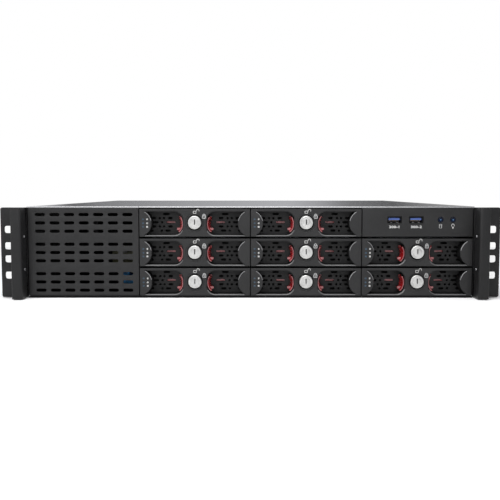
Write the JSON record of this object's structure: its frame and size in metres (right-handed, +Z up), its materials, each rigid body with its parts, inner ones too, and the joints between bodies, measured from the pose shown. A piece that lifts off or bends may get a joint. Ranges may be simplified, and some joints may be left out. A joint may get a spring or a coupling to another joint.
{
  "type": "network attached storage",
  "caption": "Rack-mount storage unit, two rack units high, with locking drive trays, a vented side panel and slotted rack ears.",
  "frame": {"origin": "middle of the underside, at the centre of the outer box", "axes": "+X to the right seen from the front, +Y to the back, +Z up"},
  "size_m": [0.4826, 0.5084, 0.0886],
  "materials": {
    "chassis_paint": "fine textured black powder coat",
    "cover_paint": "satin grey sheet steel",
    "ear_paint": "satin black paint",
    "front_plastic": "fine-grained black moulding",
    "tray_plastic": "fine-grained black moulding",
    "zinc_steel": "bright zinc-plated sheet",
    "drive_casting": "satin cast aluminium",
    "latch_plastic": "glossy translucent red moulding",
    "lock_plating": "satin white nickel plating",
    "screw_steel": "nickel plated",
    "board_laminate": "green solder mask",
    "socket_shell": "bright tin plate",
    "lens_plastic": "dark blue clear plastic",
    "sink_alloy": "plain aluminium",
    "fan_plastic": "black moulding",
    "button_plastic": "black moulding"
  },
  "bodies": {
    "chassis": {"chassis_base": "chassis_paint", "top_cover": "cover_paint", "rear_panel": "zinc_steel", "drive_cage": "zinc_steel", "backplane": "board_laminate", "vent_panel": "front_plastic", "control_panel": "front_plastic", "front_usb_board": "socket_shell", "indicator_lights": "lens_plastic", "ear_left": "ear_paint", "ear_right": "ear_paint", "screws": "screw_steel", "mainboard": "board_laminate", "heat_sink": "sink_alloy", "power_supply": "chassis_paint", "fan_housings": "fan_plastic"},
    "tray_1": {"tray_1": "tray_plastic", "drive_1": "drive_casting"},
    "latch_left_1": {"latch_left_1": "latch_plastic"},
    "latch_right_1": {"latch_right_1": "latch_plastic"},
    "lock_1": {"lock_1": "lock_plating"},
    "tray_2": {"tray_2": "tray_plastic", "drive_2": "drive_casting"},
    "latch_left_2": {"latch_left_2": "latch_plastic"},
    "latch_right_2": {"latch_right_2": "latch_plastic"},
    "lock_2": {"lock_2": "lock_plating"},
    "tray_3": {"tray_3": "tray_plastic", "drive_3": "drive_casting"},
    "latch_left_3": {"latch_left_3": "latch_plastic"},
    "latch_right_3": {"latch_right_3": "latch_plastic"},
    "lock_3": {"lock_3": "lock_plating"},
    "tray_4": {"tray_4": "tray_plastic", "drive_4": "drive_casting"},
    "latch_left_4": {"latch_left_4": "latch_plastic"},
    "latch_right_4": {"latch_right_4": "latch_plastic"},
    "lock_4": {"lock_4": "lock_plating"},
    "tray_5": {"tray_5": "tray_plastic", "drive_5": "drive_casting"},
    "latch_left_5": {"latch_left_5": "latch_plastic"},
    "latch_right_5": {"latch_right_5": "latch_plastic"},
    "lock_5": {"lock_5": "lock_plating"},
    "tray_6": {"tray_6": "tray_plastic", "drive_6": "drive_casting"},
    "latch_left_6": {"latch_left_6": "latch_plastic"},
    "latch_right_6": {"latch_right_6": "latch_plastic"},
    "lock_6": {"lock_6": "lock_plating"},
    "tray_7": {"tray_7": "tray_plastic", "drive_7": "drive_casting"},
    "latch_left_7": {"latch_left_7": "latch_plastic"},
    "latch_right_7": {"latch_right_7": "latch_plastic"},
    "lock_7": {"lock_7": "lock_plating"},
    "tray_8": {"tray_8": "tray_plastic", "drive_8": "drive_casting"},
    "latch_left_8": {"latch_left_8": "latch_plastic"},
    "latch_right_8": {"latch_right_8": "latch_plastic"},
    "lock_8": {"lock_8": "lock_plating"},
    "fan_rotor_1": {"fan_rotor_1": "fan_plastic"},
    "fan_rotor_2": {"fan_rotor_2": "fan_plastic"},
    "fan_rotor_3": {"fan_rotor_3": "fan_plastic"},
    "power_button": {"power_button": "button_plastic"}
  },
  "joints": [
    {"name": "tray_1_slide", "type": "slide", "parent": "chassis", "child": "tray_1", "axis": [0, -1, 0], "range_m": [0, 0.16]},
    {"name": "latch_left_1_pinch", "type": "slide", "parent": "tray_1", "child": "latch_left_1", "axis": [1, 0, 0], "range_m": [0, 0.0025], "stiffness_N_per_m": 300},
    {"name": "latch_right_1_pinch", "type": "slide", "parent": "tray_1", "child": "latch_right_1", "axis": [-1, 0, 0], "range_m": [0, 0.0025], "stiffness_N_per_m": 300},
    {"name": "lock_1_turn", "type": "hinge", "parent": "tray_1", "child": "lock_1", "pos_m": [-0.05387, -0.2382, 0.07315], "axis": [0, 1, 0], "range_deg": [0, 60]},
    {"name": "tray_2_slide", "type": "slide", "parent": "chassis", "child": "tray_2", "axis": [0, -1, 0], "range_m": [0, 0.16]},
    {"name": "latch_left_2_pinch", "type": "slide", "parent": "tray_2", "child": "latch_left_2", "axis": [1, 0, 0], "range_m": [0, 0.0025], "stiffness_N_per_m": 300},
    {"name": "latch_right_2_pinch", "type": "slide", "parent": "tray_2", "child": "latch_right_2", "axis": [-1, 0, 0], "range_m": [0, 0.0025], "stiffness_N_per_m": 300},
    {"name": "lock_2_turn", "type": "hinge", "parent": "tray_2", "child": "lock_2", "pos_m": [-0.05387, -0.2382, 0.04445], "axis": [0, 1, 0], "range_deg": [0, 60]},
    {"name": "tray_3_slide", "type": "slide", "parent": "chassis", "child": "tray_3", "axis": [0, -1, 0], "range_m": [0, 0.16]},
    {"name": "latch_left_3_pinch", "type": "slide", "parent": "tray_3", "child": "latch_left_3", "axis": [1, 0, 0], "range_m": [0, 0.0025], "stiffness_N_per_m": 300},
    {"name": "latch_right_3_pinch", "type": "slide", "parent": "tray_3", "child": "latch_right_3", "axis": [-1, 0, 0], "range_m": [0, 0.0025], "stiffness_N_per_m": 300},
    {"name": "lock_3_turn", "type": "hinge", "parent": "tray_3", "child": "lock_3", "pos_m": [-0.05387, -0.2382, 0.01575], "axis": [0, 1, 0], "range_deg": [0, 60]},
    {"name": "tray_4_slide", "type": "slide", "parent": "chassis", "child": "tray_4", "axis": [0, -1, 0], "range_m": [0, 0.16]},
    {"name": "latch_left_4_pinch", "type": "slide", "parent": "tray_4", "child": "latch_left_4", "axis": [1, 0, 0], "range_m": [0, 0.0025], "stiffness_N_per_m": 300},
    {"name": "latch_right_4_pinch", "type": "slide", "parent": "tray_4", "child": "latch_right_4", "axis": [-1, 0, 0], "range_m": [0, 0.0025], "stiffness_N_per_m": 300},
    {"name": "lock_4_turn", "type": "hinge", "parent": "tray_4", "child": "lock_4", "pos_m": [0.05387, -0.2382, 0.07315], "axis": [0, 1, 0], "range_deg": [0, 60]},
    {"name": "tray_5_slide", "type": "slide", "parent": "chassis", "child": "tray_5", "axis": [0, -1, 0], "range_m": [0, 0.16]},
    {"name": "latch_left_5_pinch", "type": "slide", "parent": "tray_5", "child": "latch_left_5", "axis": [1, 0, 0], "range_m": [0, 0.0025], "stiffness_N_per_m": 300},
    {"name": "latch_right_5_pinch", "type": "slide", "parent": "tray_5", "child": "latch_right_5", "axis": [-1, 0, 0], "range_m": [0, 0.0025], "stiffness_N_per_m": 300},
    {"name": "lock_5_turn", "type": "hinge", "parent": "tray_5", "child": "lock_5", "pos_m": [0.05387, -0.2382, 0.04445], "axis": [0, 1, 0], "range_deg": [0, 60]},
    {"name": "tray_6_slide", "type": "slide", "parent": "chassis", "child": "tray_6", "axis": [0, -1, 0], "range_m": [0, 0.16]},
    {"name": "latch_left_6_pinch", "type": "slide", "parent": "tray_6", "child": "latch_left_6", "axis": [1, 0, 0], "range_m": [0, 0.0025], "stiffness_N_per_m": 300},
    {"name": "latch_right_6_pinch", "type": "slide", "parent": "tray_6", "child": "latch_right_6", "axis": [-1, 0, 0], "range_m": [0, 0.0025], "stiffness_N_per_m": 300},
    {"name": "lock_6_turn", "type": "hinge", "parent": "tray_6", "child": "lock_6", "pos_m": [0.05387, -0.2382, 0.01575], "axis": [0, 1, 0], "range_deg": [0, 60]},
    {"name": "tray_7_slide", "type": "slide", "parent": "chassis", "child": "tray_7", "axis": [0, -1, 0], "range_m": [0, 0.16]},
    {"name": "latch_left_7_pinch", "type": "slide", "parent": "tray_7", "child": "latch_left_7", "axis": [1, 0, 0], "range_m": [0, 0.0025], "stiffness_N_per_m": 300},
    {"name": "latch_right_7_pinch", "type": "slide", "parent": "tray_7", "child": "latch_right_7", "axis": [-1, 0, 0], "range_m": [0, 0.0025], "stiffness_N_per_m": 300},
    {"name": "lock_7_turn", "type": "hinge", "parent": "tray_7", "child": "lock_7", "pos_m": [0.16162, -0.2382, 0.04445], "axis": [0, 1, 0], "range_deg": [0, 60]},
    {"name": "tray_8_slide", "type": "slide", "parent": "chassis", "child": "tray_8", "axis": [0, -1, 0], "range_m": [0, 0.16]},
    {"name": "latch_left_8_pinch", "type": "slide", "parent": "tray_8", "child": "latch_left_8", "axis": [1, 0, 0], "range_m": [0, 0.0025], "stiffness_N_per_m": 300},
    {"name": "latch_right_8_pinch", "type": "slide", "parent": "tray_8", "child": "latch_right_8", "axis": [-1, 0, 0], "range_m": [0, 0.0025], "stiffness_N_per_m": 300},
    {"name": "lock_8_turn", "type": "hinge", "parent": "tray_8", "child": "lock_8", "pos_m": [0.16162, -0.2382, 0.01575], "axis": [0, 1, 0], "range_deg": [0, 60]},
    {"name": "fan_rotor_1_spin", "type": "hinge", "parent": "chassis", "child": "fan_rotor_1", "pos_m": [-0.05387, -0.0482, 0.0412], "axis": [0, 1, 0], "continuous": true},
    {"name": "fan_rotor_2_spin", "type": "hinge", "parent": "chassis", "child": "fan_rotor_2", "pos_m": [0.05387, -0.0482, 0.0412], "axis": [0, 1, 0], "continuous": true},
    {"name": "fan_rotor_3_spin", "type": "hinge", "parent": "chassis", "child": "fan_rotor_3", "pos_m": [0.16162, -0.0482, 0.0412], "axis": [0, 1, 0], "continuous": true},
    {"name": "power_button_press", "type": "slide", "parent": "chassis", "child": "power_button", "axis": [0, -1, 0], "range_m": [0, 0.0012], "stiffness_N_per_m": 400}
  ],
  "couplings": [
    {"joint": "latch_right_1_pinch", "follows": "latch_left_1_pinch", "ratio": 1},
    {"joint": "latch_right_2_pinch", "follows": "latch_left_2_pinch", "ratio": 1},
    {"joint": "latch_right_3_pinch", "follows": "latch_left_3_pinch", "ratio": 1},
    {"joint": "latch_right_4_pinch", "follows": "latch_left_4_pinch", "ratio": 1},
    {"joint": "latch_right_5_pinch", "follows": "latch_left_5_pinch", "ratio": 1},
    {"joint": "latch_right_6_pinch", "follows": "latch_left_6_pinch", "ratio": 1},
    {"joint": "latch_right_7_pinch", "follows": "latch_left_7_pinch", "ratio": 1},
    {"joint": "latch_right_8_pinch", "follows": "latch_left_8_pinch", "ratio": 1}
  ]
}
